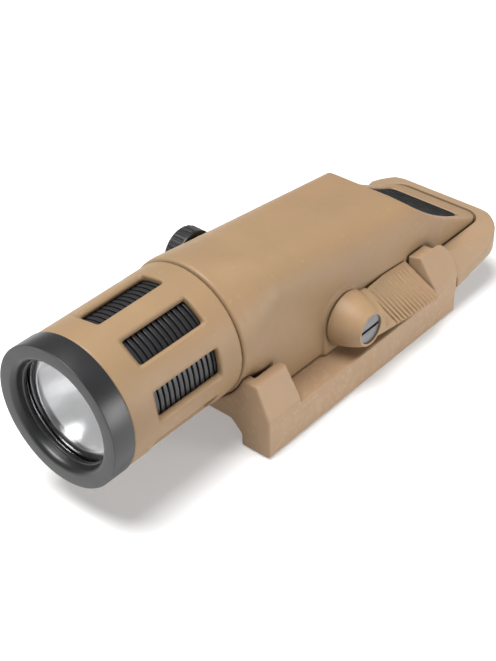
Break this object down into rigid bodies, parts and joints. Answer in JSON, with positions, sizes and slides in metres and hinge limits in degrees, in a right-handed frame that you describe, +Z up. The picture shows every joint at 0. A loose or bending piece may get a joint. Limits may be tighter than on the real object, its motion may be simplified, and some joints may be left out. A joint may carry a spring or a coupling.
{
  "type": "rail-mounted tactical light",
  "caption": "Compact rail-mounted light with a slotted twist head, clamp lever, tail paddle, guard bail and side selector knob.",
  "frame": {"origin": "centre of the rail seat, the flat face inside the rail channel", "axes": "+Y from the lens to the tail, +X towards the clamp lever, +Z up, away from the rail"},
  "size_m": [0.0404, 0.1202, 0.0377],
  "materials": {
    "tan_polymer": "fine matte moulded texture",
    "tan_base": "fine matte moulded texture",
    "tan_head": "fine matte moulded texture",
    "tan_lever": "fine matte moulded texture",
    "tan_bail": "fine matte moulded texture",
    "black_anodised": "satin black anodised",
    "black_polymer": "matte, ribbed",
    "dark_steel": "dark phosphate",
    "steel": "turned",
    "brass": "turned",
    "lens_glass": "clear, coated",
    "mirror_bowl": "vacuum plated, slight orange peel",
    "white_board": "matte",
    "phosphor": "clear dome over phosphor",
    "green_board": "solder mask",
    "black_rubber": "matte",
    "cell_wrap": "shrink film"
  },
  "bodies": {
    "body": {"housing": "tan_polymer", "battery": "cell_wrap", "battery_nub": "steel", "contact_carrier": "black_polymer", "battery_spring": "brass", "ground_strip": "brass", "switch_board": "green_board", "switch_body": "steel", "switch_button": "black_polymer", "paddle_pin": "steel", "paddle_spring": "steel", "rail_base": "tan_base", "base_screws": "dark_steel", "base_inserts": "brass", "recoil_key": "dark_steel", "shaft_insert": "brass", "bail_pins": "steel", "selector_detent": "steel"},
    "head": {"bezel": "black_anodised", "lens": "lens_glass", "lens_gasket": "black_rubber", "reflector": "mirror_bowl", "led_board": "white_board", "led_base": "white_board", "led_dome": "phosphor", "heat_sink": "black_anodised", "head_sleeve": "tan_head", "driver_board": "green_board", "driver_ring": "brass", "front_contact": "brass", "head_oring": "black_rubber"},
    "paddle_body": {"paddle": "black_polymer", "paddle_pad": "black_rubber"},
    "lever": {"clamp_lever": "tan_lever", "clamp_screw": "dark_steel"},
    "clamp_jaw": {"jaw": "dark_steel"},
    "guard": {"bail": "tan_bail"},
    "selector": {"selector_knob": "black_anodised", "selector_screw": "steel", "selector_oring": "black_rubber"}
  },
  "joints": [
    {"name": "head_twist", "type": "hinge", "parent": "body", "child": "head", "pos_m": [-0.003, -0.0325, 0.017], "axis": [0, -1, 0], "range_deg": [0, 90]},
    {"name": "lever_turn", "type": "hinge", "parent": "body", "child": "lever", "pos_m": [0.0129, -0.00172, 0.0098], "axis": [1, 0, 0], "range_deg": [0, 90]},
    {"name": "jaw_slide", "type": "slide", "parent": "body", "child": "clamp_jaw", "axis": [1, 0, 0], "range_m": [0, 0.0022]},
    {"name": "bail_swing", "type": "hinge", "parent": "body", "child": "guard", "pos_m": [0, 0.02608, 0.0069], "axis": [1, 0, 0], "range_deg": [0, 60]},
    {"name": "paddle_press", "type": "hinge", "parent": "body", "child": "paddle_body", "pos_m": [0, 0.02728, 0.0155], "axis": [-1, 0, 0], "range_deg": [0, 4.5], "stiffness_Nm_per_rad": 0.5, "springref_deg": -4.58},
    {"name": "selector_turn", "type": "hinge", "parent": "body", "child": "selector", "pos_m": [-0.018, -0.01452, 0.019], "axis": [-1, 0, 0], "range_deg": [0, 90]}
  ],
  "couplings": [
    {"joint": "lever_turn", "follows": "jaw_slide", "rad_per_m": 713.99}
  ]
}
